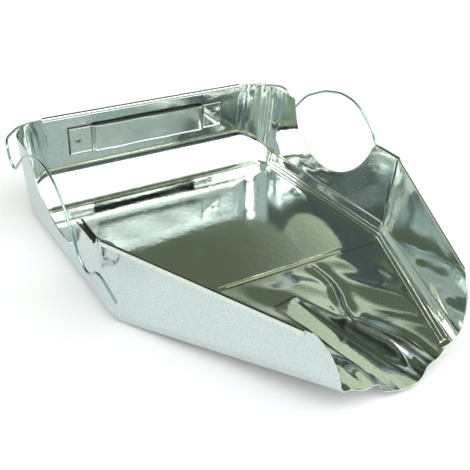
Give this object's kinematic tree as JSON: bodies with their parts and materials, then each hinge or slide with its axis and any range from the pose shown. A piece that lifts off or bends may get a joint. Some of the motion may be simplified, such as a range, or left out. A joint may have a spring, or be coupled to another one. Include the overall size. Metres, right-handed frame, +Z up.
{
  "type": "oil drain pan",
  "caption": "Scoop-shaped sheet-metal drain pan with a flat floor, a tapering pouring spout, a round notch in each side wall and a hinged spring-wire bail over each notch.",
  "frame": {"origin": "on the underside of the flat floor, on the middle plane, midway between the centres of the two side notches (level with the notch centres along the length)", "axes": "+X to the right-hand side wall, +Y to the rear wall, +Z up; the spout points along -Y"},
  "size_m": [0.3493, 0.4382, 0.1261],
  "materials": {
    "pan_sheet": "bright mirror-finished thin sheet, lightly scratched and buckled",
    "strap_sheet": "bright sheet strip",
    "spring_wire": "plain drawn spring wire",
    "rivet": "plain blind rivet",
    "magnet": "dark magnet strip"
  },
  "bodies": {
    "pan": {"rear_wall": "pan_sheet", "floor_sheet": "pan_sheet", "left_side_panel": "pan_sheet", "right_side_panel": "pan_sheet", "spout_ramp": "pan_sheet", "rear_hem_roll": "pan_sheet", "left_latch_channel": "pan_sheet", "right_latch_channel": "pan_sheet", "left_rim_hem": "pan_sheet", "right_rim_hem": "pan_sheet", "left_floor_seam": "pan_sheet", "right_floor_seam": "pan_sheet", "magnet_strap": "strap_sheet", "magnet_strip": "magnet", "strap_rivets": "rivet"},
    "left_bail": {"left_bail": "spring_wire"},
    "right_bail": {"right_bail": "spring_wire"}
  },
  "joints": [
    {"name": "left_bail_hinge", "type": "hinge", "parent": "pan", "child": "left_bail", "pos_m": [-0.11, 0.1382, 0.0945], "axis": [-1, 0, 0], "range_deg": [-5, 110]},
    {"name": "right_bail_hinge", "type": "hinge", "parent": "pan", "child": "right_bail", "pos_m": [0.11, 0.1382, 0.0945], "axis": [-1, 0, 0], "range_deg": [0, 110]}
  ]
}
